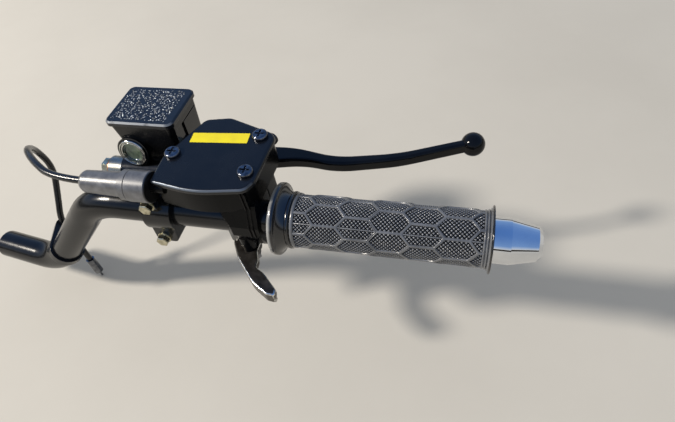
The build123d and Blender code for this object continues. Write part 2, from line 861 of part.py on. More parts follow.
fork_face = fork_gap + fork_t
with BuildPart() as brake_lever_bolt:
    with BuildSketch(level(fork_face)):
        with Locations((pivot_x, pivot_y)):
            Circle(6)
    extrude(amount=3)
    with BuildSketch(level(fork_face)):
        with Locations((pivot_x, pivot_y)):
            Circle(lever_pin_r)
    extrude(amount=-2 * fork_face - 6)
brake_lever_bolt.part.label = "brake_lever_bolt"

with BuildPart() as brake_lever_nut:
    with BuildSketch(level(-fork_face)):
        with Locations((pivot_x, pivot_y)):
            RegularPolygon(radius=5.8, side_count=6)
            Circle(lever_pin_r + slip, mode=Mode.SUBTRACT)
    extrude(amount=-4.5)
brake_lever_nut.part.label = "brake_lever_nut"

with BuildPart() as brake_piston:
    with BuildSketch(across(barrel_right - 8, bore_y)):
        Circle(piston_r)
    extrude(amount=piston_tip - barrel_right + 8)
    fillet(brake_piston.faces().sort_by(Axis.X)[-1].edges(), 2.5)
brake_piston.part.label = "brake_piston"

pieces = (
    handlebar_tube, grip, bar_end_weight, bar_end_screw, throttle_housing, throttle_lid,
    throttle_lid_screws, limiter_screw, thumb_lever, thumb_lever_bolt, throttle_boot,
    throttle_cable, cable_ferrule, cable_tie, master_cylinder, clamp_cap, clamp_bolts, tank_lid,
    sight_glass_ring, sight_glass, banjo_fitting, banjo_washers, banjo_bolt, brake_lever,
    brake_lever_bolt, brake_lever_nut, brake_piston,
)
os.makedirs("parts", exist_ok=True)
for piece in pieces:
    export_step(piece.part, f"parts/{piece.part.label}.step")
print("hand point", [round(v, 3) for v in hand])
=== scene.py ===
"""Right-hand end of a quad bike handlebar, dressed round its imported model.

The grip's moulding, the thumb lever's rounded blade, the tank lid's grain, the sight glass, the
lid's stripe and the cable are made here. The other pieces are the model's own solids, and get
their finishes here.

Sizes are in millimetres until a piece is placed, and angles in degrees where nothing else is said.
Most places are given from the "hand" point, which is on the tube's axis at the grip's inner
flange: x outboard along the grip, y forwards, z up.
"""

import json
import logging
import math
import random
from abc import ABC, abstractmethod
from collections.abc import Callable, Iterator, Sequence
from contextlib import contextmanager
from dataclasses import dataclass
from enum import Enum
from typing import ClassVar

import bmesh
import bpy
from mathutils import Matrix, Vector

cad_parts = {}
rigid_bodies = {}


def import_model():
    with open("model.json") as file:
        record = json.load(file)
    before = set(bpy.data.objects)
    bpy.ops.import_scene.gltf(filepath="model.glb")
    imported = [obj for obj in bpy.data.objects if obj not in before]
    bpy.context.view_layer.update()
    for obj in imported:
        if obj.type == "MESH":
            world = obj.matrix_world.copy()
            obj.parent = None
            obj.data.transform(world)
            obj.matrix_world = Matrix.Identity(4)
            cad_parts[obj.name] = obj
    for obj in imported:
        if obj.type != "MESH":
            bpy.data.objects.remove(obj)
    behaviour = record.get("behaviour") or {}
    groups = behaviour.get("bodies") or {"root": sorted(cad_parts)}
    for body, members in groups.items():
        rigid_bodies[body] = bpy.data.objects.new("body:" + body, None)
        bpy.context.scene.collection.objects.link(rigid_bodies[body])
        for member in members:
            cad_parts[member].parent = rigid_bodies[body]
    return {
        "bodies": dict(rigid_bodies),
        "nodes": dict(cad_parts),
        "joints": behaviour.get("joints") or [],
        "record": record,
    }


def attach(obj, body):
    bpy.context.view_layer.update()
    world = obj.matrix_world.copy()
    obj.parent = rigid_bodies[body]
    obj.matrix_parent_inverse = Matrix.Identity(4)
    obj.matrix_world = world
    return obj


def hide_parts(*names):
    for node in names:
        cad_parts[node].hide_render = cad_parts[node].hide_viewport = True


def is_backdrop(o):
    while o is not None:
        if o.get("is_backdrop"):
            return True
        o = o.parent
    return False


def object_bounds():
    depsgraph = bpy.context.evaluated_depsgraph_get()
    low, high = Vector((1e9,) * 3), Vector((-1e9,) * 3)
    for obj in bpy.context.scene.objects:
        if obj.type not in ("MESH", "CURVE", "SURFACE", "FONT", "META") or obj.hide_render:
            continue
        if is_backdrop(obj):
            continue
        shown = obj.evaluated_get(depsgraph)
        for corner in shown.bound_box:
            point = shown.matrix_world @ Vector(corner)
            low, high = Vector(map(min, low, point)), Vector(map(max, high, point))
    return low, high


LOG = logging.getLogger("handlebar")
# Metres in a millimetre
MM = 0.001
HAND = Vector((263.436, -8.072, 80.0))
HAND_FRAME = Matrix.Scale(MM, 4) @ Matrix.Translation(HAND)
# Degrees by which the throttle housing's lid rises towards its front
LID_TILT = 4
LID_FRAME = HAND_FRAME @ Matrix.Rotation(math.radians(LID_TILT), 4, "X")
PAPER = "#d2cfc9"
# The attribute that holds how far a casting's evening took each place back, in mm
WORN = "worn"
# How many rays find the edges near a place
EDGE_SAMPLES = 6

Rgba = tuple[float, float, float, float]
Point = tuple[float, float, float]
Span = tuple[float, float]
Outline = tuple[tuple[float, float], ...]
Tree = bpy.types.NodeTree
Node = bpy.types.Node
Socket = bpy.types.NodeSocket
Piece = bpy.types.Object
Feeds = dict[str | int, object]


class Slot(Enum):
    """The record's material slots, by the name that each has there."""

    BAR_PAINT = "bar_paint"
    GRIP_RUBBER = "grip_rubber"
    CHROME_PLATE = "chrome_plate"
    SCREW_STEEL = "screw_steel"
    HOUSING_PLASTIC = "housing_plastic"
    LID_PAINT = "lid_paint"
    SCREW_BLACK = "screw_black"
    THUMB_METAL = "thumb_metal"
    BOOT_RUBBER = "boot_rubber"
    CABLE_SHEATH = "cable_sheath"
    CYLINDER_CAST = "cylinder_cast"
    TANK_LID_BLACK = "tank_lid_black"
    RING_METAL = "ring_metal"
    SIGHT_WINDOW = "sight_window"
    BOLT_ZINC = "bolt_zinc"
    BANJO_ZINC = "banjo_zinc"
    WASHER_COPPER = "washer_copper"
    LEVER_PAINT = "lever_paint"
    PISTON_ALLOY = "piston_alloy"


class Relief(Enum):
    """The pattern of a surface's fine relief, by the texture node that draws it."""

    GRAIN = "TexNoise"
    PEBBLE = "TexVoronoi"
    TURNING = "TexWave"


class MeshPart(Enum):
    """The parts of an edit mesh, by the name of their list in it."""

    EDGE = "edges"
    FACE = "faces"


def linear(colour: str) -> Rgba:
    """Turns a colour from sRGB to linear.

    Args:
        colour: the colour as six hex digits.

    Returns:
        The linear colour, opaque.
    """
    parts = [int(colour[i : i + 2], 16) / 255 for i in (1, 3, 5)]
    red, green, blue = (
        c / 12.92 if c <= 0.04045 else ((c + 0.055) / 1.055) ** 2.4 for c in parts
    )
    return red, green, blue, 1.0


def per_metre(size: float) -> float:
    """Gives a texture's scale for a pattern whose repeat is size mm."""
    return 1 / (size * MM)


def add_node(tree: Tree, kind: str, feeds: Feeds | None = None, **settings: object) -> Node:
    """Adds a node to a material, with its settings and links.

    Args:
        tree: the material's nodes.
        kind: the node's type, without the word that all of them start with.
        feeds: what each input gets, a value or another node's output.
        settings: the node's own settings.

    Returns:
        The node.
    """
    made = tree.nodes.new("ShaderNode" + kind)
    for name, value in settings.items():
        setattr(made, name, value)
    for key, value in (feeds or {}).items():
        if isinstance(value, Socket):
            tree.links.new(value, made.inputs[key])
        else:
            made.inputs[key].default_value = value
    return made


def paint_over(tree: Tree, shader: Node, share: Socket, colour: str) -> None:
    """Lays another colour over the one that a shader has.

    Args:
        tree: the material's nodes.
        shader: the node that gives the surface.
        share: how much of the new colour shows, from 0 to 1.
        colour: the new colour, as six hex digits.
    """
    base = shader.inputs["Base Color"]
    tones = {0: share, 6: base.links[0].from_socket, 7: linear(colour)}
    shown = add_node(tree, "Mix", tones, data_type="RGBA").outputs[2]
    tree.links.new(shown, base)


@dataclass(frozen=True)
class Wear(ABC):
    """Where a surface's top coat has rubbed off, in patches, and what shows there."""

    colour: str
    metallic: float
    roughness: float
    patchy: float
    patch_fade: float = 0.12

    @abstractmethod
    def limits(self, tree: Tree) -> list[Socket]:
        """Draws where the piece's shape lets the wear in; each kind of wear has its own way."""

    def share(self, tree: Tree, patches: Socket) -> Socket:
        """Draws how worn each place is.

        Args:
            tree: the material's nodes.
            patches: the noise that breaks the wear up.

        Returns:
            The output that runs from 0, sound, to 1, worn.
        """
        share = add_node(
            tree,
            "MapRange",
            {"Value": patches, "From Min": self.patchy, "From Max": self.patchy + self.patch_fade},
        ).outputs["Result"]
        for limit in self.limits(tree):
            share = add_node(tree, "Math", {0: share, 1: limit}, operation="MULTIPLY").outputs[0]
        return share


@dataclass(frozen=True)
class EdgeWear(Wear):
    """Wear along every edge, as far in from it as width, in mm."""

    width: float = 0.3
    least: float = 0.985
    fade: float = 0.1

    def limits(self, tree: Tree) -> list[Socket]:
        """Draws the edges, where the surface and its rounded likeness face apart.

        Args:
            tree: the material's nodes.

        Returns:
            The output that runs from 0, flat, to 1, on an edge.
        """
        rounded = add_node(tree, "Bevel", {"Radius": self.width * MM}, samples=EDGE_SAMPLES)
        flat = add_node(tree, "NewGeometry")
        along = add_node(
            tree,
            "VectorMath",
            {0: rounded.outputs["Normal"], 1: flat.outputs["Normal"]},
            operation="DOT_PRODUCT",
        ).outputs["Value"]
        edge = add_node(
            tree,
            "MapRange",
            {"Value": along, "From Min": self.least, "From Max": self.least - self.fade},
        )
        return [edge.outputs["Result"]]


@dataclass(frozen=True)
class RimWearAndHighlight(Wear):
    """Rubbed paint and a painted highlight on the rounding between a level top and its upright
    sides, on the side that faces the light.
    """

    steep: float = 0.25
    steep_fade: float = 0.15
    level: float = 0.93
    level_fade: float = 0.1
    # The side whose rounding gets the painted highlight
    side: Point = (-0.3, -0.95, 0.0)
    highlight_side_span: Span = (0.05, 0.4)

    def limits(self, tree: Tree) -> list[Socket]:
        """Draws where the surface neither lies level nor stands upright, and the side where the
        highlight is painted.

        Args:
            tree: the material's nodes.

        Returns:
            The outputs that run from 0, sound, to 1, worn and painted bright.
        """
        facing = add_node(tree, "NewGeometry").outputs["Normal"]
        height = add_node(tree, "SeparateXYZ", {"Vector": facing}).outputs["Z"]
        turned = add_node(
            tree, "VectorMath", {0: facing, 1: self.side}, operation="DOT_PRODUCT"
        ).outputs["Value"]
        limits = []
        for value, sound, worn in (
            (height, self.steep, self.steep + self.steep_fade),
            (height, self.level, self.level - self.level_fade),
            (turned, *self.highlight_side_span),
        ):
            limit = add_node(
                tree, "MapRange", {"Value": value, "From Min": sound, "From Max": worn}
            )
            limits.append(limit.outputs["Result"])
        return limits


@dataclass(frozen=True)
class CornerWear(Wear):
    """Paint rubbed off a casting's corners, by how many mm its evening took each place back."""

    sound: float = 0.02
    bare: float = 0.038

    def limits(self, tree: Tree) -> list[Socket]:
        """Draws where the piece's worn attribute is high.

        Args:
            tree: the material's nodes.

        Returns:
            The output that runs from 0, sound, to 1, bare.
        """
        taken = add_node(tree, "Attribute", attribute_name=WORN).outputs["Fac"]
        corner = add_node(
            tree, "MapRange", {"Value": taken, "From Min": self.sound, "From Max": self.bare}
        )
        return [corner.outputs["Result"]]


@dataclass(frozen=True)
class Finish:
    """A surface finish: what it is made of, how it was made and how it has aged.

    The repeats of its patches and grain, the grain's depth and the rounding that the light sees
    on its edges are in millimetres.
    """

    name: str
    colour: str
    shade: str
    roughness: float
    metallic: float = 0.0
    spread: float = 0.05
    patch: float = 14.0
    relief: Relief = Relief.GRAIN
    grain: float = 0.8
    depth: float = 0.02
    specular: float = 0.5
    soften: float = 0.25
    wear: Wear | None = None
    cloud_detail: float = 6.0
    cloud_roughness: float = 0.6
    shade_span: Span = (0.38, 0.68)
    rough_span: Span = (0.3, 0.7)
    smoothest: float = 0.02

    def shade_share(self, tree: Tree, place: Socket) -> Socket:
        """Draws the patches in which the second colour shows.

        Args:
            tree: the material's nodes.
            place: the piece's own coordinates.

        Returns:
            The output that is low in the first colour's patches and high in the second's.
        """
        cloud = add_node(
            tree,
            "TexNoise",
            {
                "Vector": place, "Scale": per_metre(self.patch), "Detail": self.cloud_detail,
                "Roughness": self.cloud_roughness,
            },
        )
        return cloud.outputs["Fac"]

    def relief_height(self, tree: Tree, place: Socket) -> Socket:
        """Draws the fine relief that the making left.

        Args:
            tree: the material's nodes.
            place: the piece's own coordinates.

        Returns:
            The output that is the relief's height, from 0 to 1.
        """
        drawn = add_node(
            tree, self.relief.value, {"Vector": place, "Scale": per_metre(self.grain)}
        )
        return drawn.outputs["Distance" if self.relief is Relief.PEBBLE else "Fac"]

    def build(self) -> bpy.types.Material:
        """Makes the finish's material.

        Returns:
            The material.
        """
        made = bpy.data.materials.new(self.name)
        made.use_nodes = True
        tree = made.node_tree
        tree.nodes.clear()
        place = add_node(tree, "TexCoord").outputs["Object"]
        patches = self.shade_share(tree, place)
        low, high = self.shade_span
        share = add_node(
            tree, "MapRange", {"Value": patches, "From Min": low, "From Max": high}
        ).outputs["Result"]
        tones = {0: share, 6: linear(self.colour), 7: linear(self.shade)}
        colour = add_node(tree, "Mix", tones, data_type="RGBA").outputs[2]
        low, high = self.rough_span
        rough = add_node(
            tree,
            "MapRange",
            {
                "Value": patches, "From Min": low, "From Max": high,
                "To Min": max(self.roughness - self.spread, self.smoothest),
                "To Max": self.roughness + self.spread,
            },
        ).outputs["Result"]
        metal: float | Socket = self.metallic
        if self.wear:
            worn = self.wear.share(tree, patches)
            tones = {0: worn, 6: colour, 7: linear(self.wear.colour)}
            colour = add_node(tree, "Mix", tones, data_type="RGBA").outputs[2]
            rough = add_node(tree, "Mix", {0: worn, 2: rough, 3: self.wear.roughness}).outputs[0]
            if self.wear.metallic != self.metallic:
                metals = {"Value": worn, "To Min": self.metallic, "To Max": self.wear.metallic}
                metal = add_node(tree, "MapRange", metals).outputs["Result"]
        rounded = add_node(tree, "Bevel", {"Radius": self.soften * MM}, samples=EDGE_SAMPLES)
        bump = add_node(
            tree,
            "Bump",
            {
                "Height": self.relief_height(tree, place), "Distance": self.depth * MM,
                "Strength": 1.0, "Normal": rounded.outputs["Normal"],
            },
        )
        shader = add_node(
            tree,
            "BsdfPrincipled",
            {
                "Base Color": colour, "Roughness": rough, "Metallic": metal,
                "Normal": bump.outputs["Normal"], "Specular IOR Level": self.specular,
            },
        )
        self.adjust(tree, shader, place)
        add_node(tree, "OutputMaterial", {"Surface": shader.outputs["BSDF"]})
        return made

    def adjust(self, tree: Tree, shader: Node, place: Socket) -> None:
        """Leaves the shader as it is; a special finish changes it here."""


@dataclass(frozen=True)
class GripRubber(Finish):
    """Moulded rubber: hands rub the pips palest, and the flange's rim is painted pale grey, as
    scuffs and a painted highlight.

    Its distances are in millimetres, from the tube's axis or along the grip from its flange.
    """

    rubbed: str = "#83868c"
    polish: float = 0.3
    low: float = 16.1
    high: float = 16.5
    crown: float = 16.58
    rib: float = 16.9
    rib_share: float = 0.62
    ends: Span = (12.3, 128.4)
    dust: float = 9.0
    dust_detail: float = 4.0
    dust_span: Span = (0.3, 0.65)
    least_share: float = 0.6
    # Pale grey painted on the flange's rim: scuffs and a painted highlight
    scuff_and_highlight: str = "#bcbebf"
    rim: float = 21.2
    rim_fade: float = 0.6
    rim_width: float = 2.6

    def rubbed_share(self, tree: Tree, reach: Socket, along: Socket, dust: Socket) -> Socket:
        """Draws how far hands have rubbed each place between the patterned part's ends.

        Args:
            tree: the material's nodes.
            reach: the distance from the tube's axis.
            along: the distance along the grip from its flange.
            dust: the noise that makes the rubbing uneven.

        Returns:
            The output that runs from 0, black, to 1, rubbed pale.
        """
        low, high = self.dust_span
        share = add_node(
            tree,
            "MapRange",
            {"Value": dust, "From Min": low, "From Max": high, "To Min": self.least_share},
        ).outputs["Result"]
        first, last = self.ends
        out = {"Value": reach, "From Min": self.low * MM, "From Max": self.high * MM}
        spared = {
            "Value": reach, "From Min": self.crown * MM, "From Max": self.rib * MM,
            "To Min": 1.0, "To Max": self.rib_share,
        }
        limits = [
            add_node(tree, "MapRange", out),
            add_node(tree, "MapRange", spared),
            add_node(tree, "Math", {0: along, 1: first * MM}, operation="GREATER_THAN"),
            add_node(tree, "Math", {0: along, 1: last * MM}, operation="LESS_THAN"),
        ]
        for limit in limits:
            feeds = {0: share, 1: limit.outputs[0]}
            share = add_node(tree, "Math", feeds, operation="MULTIPLY").outputs[0]
        return share

    def scuff_and_highlight_share(self, tree: Tree, reach: Socket, along: Socket, dust: Socket) -> Socket:
        """Draws the flange rim's scuffs and painted highlight.

        Args:
            tree: the material's nodes.
            reach: the distance from the tube's axis.
            along: the distance along the grip from its flange.
            dust: the noise that breaks the scuffs up.

        Returns:
            The output that runs from 0, sound, to 1, scuffed and painted bright.
        """
        share, outer = (
            add_node(
                tree, "MapRange", {"Value": value, "From Min": sound * MM, "From Max": worn * MM}
            ).outputs["Result"]
            for value, sound, worn in (
                (along, self.rim_width, self.rim_width / 2),
                (reach, self.rim, self.rim + self.rim_fade),
            )
        )
        for limit in (outer, dust):
            share = add_node(tree, "Math", {0: share, 1: limit}, operation="MULTIPLY").outputs[0]
        return share

    def adjust(self, tree: Tree, shader: Node, place: Socket) -> None:
        """Pales and smooths the rubber where hands rub it, and paints the flange's rim pale for
        scuffs and a highlight.

        Args:
            tree: the material's nodes.
            shader: the node that gives the surface.
            place: the piece's own coordinates.
        """
        shifted = add_node(
            tree, "VectorMath", {0: place, 1: HAND * MM}, operation="SUBTRACT"
        ).outputs["Vector"]
        spoke = add_node(
            tree, "VectorMath", {0: shifted, 1: (0.0, 1.0, 1.0)}, operation="MULTIPLY"
        ).outputs["Vector"]
        reach = add_node(tree, "VectorMath", {0: spoke}, operation="LENGTH").outputs["Value"]
        along = add_node(tree, "SeparateXYZ", {"Vector": shifted}).outputs["X"]
        dust = add_node(
            tree,
            "TexNoise",
            {"Vector": place, "Scale": per_metre(self.dust), "Detail": self.dust_detail},
        ).outputs["Fac"]
        share = self.rubbed_share(tree, reach, along, dust)
        paint_over(tree, shader, share, self.rubbed)
        paint_over(tree, shader, self.scuff_and_highlight_share(tree, reach, along, dust), self.scuff_and_highlight)
        rough = shader.inputs["Roughness"]
        feeds = {0: share, 2: rough.links[0].from_socket, 3: self.polish}
        tree.links.new(add_node(tree, "Mix", feeds).outputs[0], rough)


@dataclass(frozen=True)
class BootRubber(Finish):
    """Weathered rubber, with shade painted near black over its mouth, which sits tucked against
    the housing.

    The mouth's place is in millimetres from the grip's flange.
    """

    mouth: float = -73.3
    mouth_fade: float = 0.4
    # Painted shade, near black, over the mouth
    mouth_shade: str = "#0b0b0c"

    def adjust(self, tree: Tree, shader: Node, place: Socket) -> None:
        """Paints shade over the rubber past the mouth's edge.

        Args:
            tree: the material's nodes.
            shader: the node that gives the surface.
            place: the piece's own coordinates.
        """
        along = add_node(tree, "SeparateXYZ", {"Vector": place}).outputs["X"]
        edge = HAND.x + self.mouth
        share = add_node(
            tree,
            "MapRange",
            {"Value": along, "From Min": edge * MM, "From Max": (edge + self.mouth_fade) * MM},
        ).outputs["Result"]
        paint_over(tree, shader, share, self.mouth_shade)


@dataclass(frozen=True)
class ClearWindow(Finish):
    """Clear moulded plastic."""

    ior: float = 1.49

    def adjust(self, tree: Tree, shader: Node, place: Socket) -> None:
        """Lets light through the shader."""
        shader.inputs["Transmission Weight"].default_value = 1.0
        shader.inputs["IOR"].default_value = self.ior


@dataclass(frozen=True)
class Backdrop(Finish):
    """Pale paper that runs out into an even brightness away from the object."""

    fade_from: float = 650
    fade_to: float = 1700

    def adjust(self, tree: Tree, shader: Node, place: Socket) -> None:
        """Turns the far paper into the plain backdrop, for what looks straight at it.

        Args:
            tree: the material's nodes.
            shader: the node that gives the surface.
            place: the piece's own coordinates.
        """
        away = add_node(tree, "VectorMath", {0: place}, operation="LENGTH").outputs["Value"]
        far = add_node(
            tree,
            "MapRange",
            {"Value": away, "From Min": self.fade_from * MM, "From Max": self.fade_to * MM},
        ).outputs["Result"]
        rays = add_node(tree, "LightPath").outputs
        seen = add_node(
            tree, "Math", {0: rays["Is Camera Ray"], 1: rays["Is Glossy Ray"]}, operation="ADD"
        ).outputs[0]
        glow = add_node(tree, "Math", {0: seen, 1: far}, operation="MULTIPLY").outputs[0]
        paint_over(tree, shader, glow, "#000000")
        tree.links.new(glow, shader.inputs["Emission Strength"])
        shader.inputs["Emission Color"].default_value = linear(PAPER)


# Black paint and plastic are dark greys here, because dust and light keep real ones off pure black
FINISHES: dict[Slot, Finish] = {
    # Powder coat, sprayed and baked: even gloss with a faint orange peel
    Slot.BAR_PAINT: Finish(
        "powder_coat_gloss_black", "#08090b", "#0c0d10", 0.19, spread=0.03, grain=2.4,
        depth=0.006, specular=0.35,
    ),
    # Styrene rubber, moulded: black with a dull shine, rubbed pale where hands reach, and its
    # flange's rim painted pale for scuffs and a highlight
    Slot.GRIP_RUBBER: GripRubber(
        "rubber_moulded_black", "#08090b", "#0f1013", 0.2, spread=0.04, grain=0.6, depth=0.015,
        specular=0.8,
    ),
    # Chrome plate on turned steel: a mirror, very slightly wavy
    Slot.CHROME_PLATE: Finish(
        "chrome_plate_turned", "#dfe1e4", "#d4d7db", 0.035, 1.0, 0.015, grain=30, depth=0.002
    ),
    # Blackened steel, pressed and domed: dark shine, whitish in patches
    Slot.SCREW_STEEL: Finish(
        "steel_domed_darkened", "#7b7e84", "#4a4c51", 0.2, 1.0, 0.06, patch=3, grain=0.8,
        depth=0.01,
    ),
    # Glass-filled nylon, moulded: half gloss with a fine even grain
    Slot.HOUSING_PLASTIC: Finish(
        "nylon_moulded_black", "#08090a", "#0e0e0f", 0.2, spread=0.05, grain=0.7, depth=0.012,
        specular=0.08, wear=EdgeWear("#3c3b39", 0.0, 0.5, patchy=0.52),
    ),
    # Black enamel on die-cast alloy: an even satin, rubbed a little along the rim, where a
    # highlight is also painted
    Slot.LID_PAINT: Finish(
        "enamel_satin_black", "#0b0d11", "#101216", 0.26, spread=0.03, grain=0.6, depth=0.008,
        specular=0.4, wear=RimWearAndHighlight("#626972", 0.5, 0.36, patchy=0.25),
    ),
    # Nylon, moulded: plain black, slightly glossy
    Slot.SCREW_BLACK: Finish(
        "nylon_plain_black", "#0e0e0f", "#151516", 0.3, grain=0.6, depth=0.015
    ),
    # Cast alloy under thin dark paint: bare and shiny along every edge
    Slot.THUMB_METAL: Finish(
        "alloy_cast_dark", "#47433f", "#5f5a54", 0.34, 0.85, 0.08, patch=5, grain=0.9, depth=0.03,
        wear=CornerWear("#d9d8d3", 1.0, 0.22, patchy=0.2),
    ),
    # Rubber, moulded: greyed and mottled by weather, with painted shade at its mouth
    Slot.BOOT_RUBBER: BootRubber(
        "rubber_weathered_grey", "#4c4d50", "#6a6b6f", 0.34, spread=0.06, patch=6, grain=0.9,
        depth=0.012, specular=0.9,
    ),
    # PVC, extruded: smooth, half gloss
    Slot.CABLE_SHEATH: Finish(
        "pvc_extruded_black", "#0f1012", "#17181a", 0.25, grain=1.2, depth=0.01
    ),
    # Die-cast alloy under black paint: slightly uneven, glossy. Its pebble is about three times
    # coarser than a real casting's, which would be too fine to show
    Slot.CYLINDER_CAST: Finish(
        "alloy_cast_painted_black", "#0b0c0e", "#121315", 0.15, spread=0.04,
        relief=Relief.PEBBLE, grain=1.6, depth=0.012, specular=0.4,
        wear=EdgeWear("#55544f", 0.5, 0.4, patchy=0.52),
    ),
    # Enamel on a pressed lid: bluish black, with a thin highlight painted along its near edge
    Slot.TANK_LID_BLACK: Finish(
        "enamel_lid_black", "#0e1118", "#151820", 0.18, spread=0.04, grain=0.5, depth=0.008,
        wear=RimWearAndHighlight(
            "#777d85", 0.2, 0.4, patchy=0.3, steep=0.58, level=0.82, side=(0.0, -1.0, 0.0)
        ),
    ),
    # Nickel plate, turned: bright and slightly uneven
    Slot.RING_METAL: Finish(
        "nickel_plate_turned", "#c9cac6", "#b2b3ae", 0.14, 1.0, 0.04, patch=4, grain=8, depth=0.01
    ),
    # Acrylic, moulded: clear
    Slot.SIGHT_WINDOW: ClearWindow(
        "acrylic_clear", "#f4f7f0", "#eef2ea", 0.03, spread=0.01, grain=9, depth=0.003
    ),
    # Zinc plate with a yellow passivate: pale gold, patchy
    Slot.BOLT_ZINC: Finish(
        "zinc_yellow_passivate", "#cdc7ae", "#8f8970", 0.24, 1.0, 0.08, patch=3, grain=0.6,
        depth=0.012,
    ),
    # Zinc plate on turned steel, dulled
    Slot.BANJO_ZINC: Finish(
        "zinc_plate_dulled", "#9d9c93", "#77766f", 0.3, 1.0, 0.08, patch=4, grain=0.6, depth=0.015
    ),
    # Copper, stamped: brown where it has aged
    Slot.WASHER_COPPER: Finish(
        "copper_stamped", "#b87a55", "#7d5038", 0.35, 1.0, 0.1, patch=2, grain=0.5, depth=0.01
    ),
    # Gloss black enamel on forged alloy: greyish rubs at the edges
    Slot.LEVER_PAINT: Finish(
        "enamel_gloss_black", "#090a0c", "#0e0f11", 0.11, spread=0.03, grain=1.8, depth=0.006,
        specular=0.2, wear=EdgeWear("#2e2f32", 0.3, 0.4, width=0.4, patchy=0.55),
    ),
    # Aluminium, turned: bright with faint rings, several times coarser than real feed marks, which
    # would be too fine to show
    Slot.PISTON_ALLOY: Finish(
        "aluminium_turned", "#a9abad", "#97999b", 0.28, 1.0, relief=Relief.TURNING, grain=0.6,
        depth=0.004,
    ),
}
# The tank lid's grain, standing proud of the enamel: its pale tops are painted glints
GRAIN_GLINTS = Finish(
    "enamel_grain_rubbed", "#dfe2e4", "#25282d", 0.24, 0.3, 0.05, patch=3.2, grain=0.6, depth=0.02
)
# Vinyl film, printed: flat yellow, slightly faded in patches
STRIPE_FILM = Finish(
    "vinyl_film_yellow", "#f6e61c", "#ead826", 0.42, patch=9, grain=0.8, depth=0.004, soften=0.05
)
# Brake fluid behind the window: dull green, darker at its level
FLUID = Finish("brake_fluid_green", "#c3cfb2", "#82907a", 0.3, patch=6, grain=6, depth=0.01)
# Plain paper, rolled out: matt and even
FLOOR_PAPER = Backdrop(
    "paper_backdrop_pale", PAPER, "#cdcac4", 0.9, patch=240, grain=3, depth=0.02, specular=0.0
)
# The materials that main makes, by their finishes' names
MATERIALS: dict[str, bpy.types.Material] = {}


def pick(*pieces: Piece) -> None:
    """Selects pieces and nothing else, and makes the first one active.

    Args:
        pieces: the objects.
    """
    bpy.ops.object.select_all(action="DESELECT")
    for piece in pieces:
        piece.select_set(True)
    bpy.context.view_layer.objects.active = pieces[0]


@contextmanager
def editing(piece: Piece) -> Iterator[bmesh.types.BMesh]:
    """Opens a piece in edit mode, and closes it after the block.

    Args:
        piece: the mesh object.

    Yields:
        The piece's edit mesh.
    """
    pick(piece)
    bpy.ops.object.mode_set(mode="EDIT")
    bpy.ops.mesh.select_mode(type="VERT")
    try:
        yield bmesh.from_edit_mesh(piece.data)
    finally:
        bpy.ops.object.mode_set(mode="OBJECT")


def start(add: Callable[..., object], name: str, **sizes: object) -> Piece:
    """Adds a primitive as the start of a piece.

    Args:
        add: the operator that adds it.
        name: the piece's name.
        sizes: the operator's settings.

    Returns:
        The new object.
    """
    bpy.ops.object.select_all(action="DESELECT")
    add(**sizes)
    made = bpy.context.view_layer.objects.active
    made.name = made.data.name = name
    return made


def duplicate(source: Piece) -> Piece:
    """Copies a piece, with a mesh of its own.

    Args:
        source: the mesh object.

    Returns:
        The copy.
    """
    made = source.copy()
    made.data = source.data.copy()
    bpy.context.collection.objects.link(made)
    return made


def select(mesh: bmesh.types.BMesh, part: MeshPart, test: Callable[..., bool]) -> None:
    """Selects a piece's edges or faces by a test on each.

    Args:
        mesh: the piece's edit mesh.
        part: what is tested.
        test: says whether one of them is selected.
    """
    bpy.ops.mesh.select_mode(type=part.name)
    bpy.ops.mesh.select_all(action="DESELECT")
    for one in getattr(mesh, part.value):
        one.select_set(test(one))
    mesh.select_flush_mode()


def weld(gap: float) -> None:
    """Merges the points of the piece in edit mode that lie nearer to each other than gap."""
    bpy.ops.mesh.select_all(action="SELECT")
    bpy.ops.mesh.remove_doubles(threshold=gap)


def face_outwards() -> None:
    """Turns all faces of the piece in edit mode outwards."""
    bpy.ops.mesh.select_all(action="SELECT")
    bpy.ops.mesh.normals_make_consistent(inside=False)


def modify(piece: Piece, kind: str, **settings: object) -> None:
    """Adds a modifier to a piece and applies it.

    Args:
        piece: the mesh object.
        kind: the modifier's type.
        settings: the modifier's settings.
    """
    pick(piece)
    added = piece.modifiers.new(kind.lower(), kind)
    for name, value in settings.items():
        setattr(added, name, value)
    bpy.ops.object.modifier_apply(modifier=added.name)


def put(piece: Piece, frame: Matrix) -> None:
    """Puts a piece in its place, with the place in its mesh.

    Args:
        piece: the mesh object.
        frame: the frame that its sizes were given in.
    """
    pick(piece)
    piece.matrix_world = frame @ piece.matrix_world
    bpy.ops.object.transform_apply(location=True, rotation=True, scale=True)


def join(pieces: Sequence[Piece], name: str) -> Piece:
    """Joins objects into one.

    Args:
        pieces: the objects, of which the first one is kept.
        name: the joined piece's name.

    Returns:
        The joined object.
    """
    pick(*pieces)
    bpy.ops.object.join()
    pieces[0].name = pieces[0].data.name = name
    return pieces[0]


def turn(name: str, outline: Outline, steps: int, gap: float = 1e-4) -> Piece:
    """Turns a closed outline about the x axis, as on a lathe.

    Args:
        name: the piece's name.
        outline: places along the axis and distances from it.
        steps: how many flats go round.
        gap: how near to each other points have to lie to be merged.

    Returns:
        The turned object.
    """
    made = start(bpy.ops.mesh.primitive_plane_add, name, size=1)
    with editing(made):
        bpy.ops.mesh.merge(type="CENTER")
        along, out = outline[0]
        bpy.ops.transform.translate(value=(along, out, 0))
        for (x0, r0), (x1, r1) in zip(outline, [*outline[1:], outline[0]]):
            step = (x1 - x0, r1 - r0, 0)
            bpy.ops.mesh.extrude_region_move(TRANSFORM_OT_translate={"value": step})
        weld(gap)
        bpy.ops.mesh.spin(steps=steps, angle=math.tau, center=(0, 0, 0), axis=(1, 0, 0))
        weld(gap)
        face_outwards()
    return made


